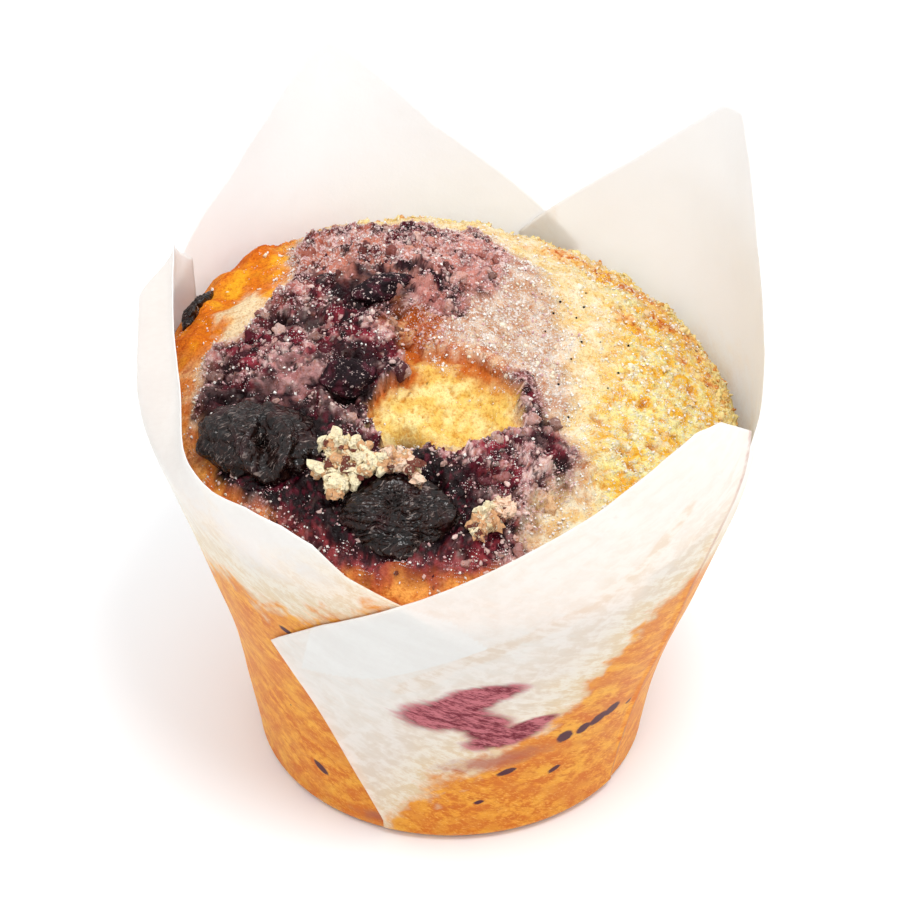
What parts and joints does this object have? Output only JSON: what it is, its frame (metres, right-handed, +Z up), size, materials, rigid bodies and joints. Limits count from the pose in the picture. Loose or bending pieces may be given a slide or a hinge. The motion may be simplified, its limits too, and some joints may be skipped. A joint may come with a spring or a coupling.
{
  "type": "berry muffin in paper tulip case",
  "caption": "Domed berry muffin with a sugared streusel top, baked in a white parchment tulip case whose corners stand up as petals.",
  "frame": {"origin": "middle of the paper case's flat bottom", "axes": "+Z up, -Y the front, where the outermost petal's face is, +X to the right seen from the front"},
  "size_m": [0.0791, 0.0819, 0.082],
  "materials": {
    "parchment": "matte white greaseproof paper, see-through and golden where fat has soaked in",
    "muffin": "soft matte baked crumb, pale yellow with a golden crust and purple berry stains",
    "dark_berry": "glossy wrinkled near-black berry skin",
    "streusel": "dry matte crumbly baked topping"
  },
  "bodies": {
    "root": {"paper_case": "parchment", "cake": "muffin", "berry_left": "dark_berry", "berry_front": "dark_berry", "berry_middle": "dark_berry", "berry_top": "dark_berry", "berry_side": "dark_berry", "crumb_large": "streusel", "crumb_small": "streusel"}
  },
  "joints": []
}
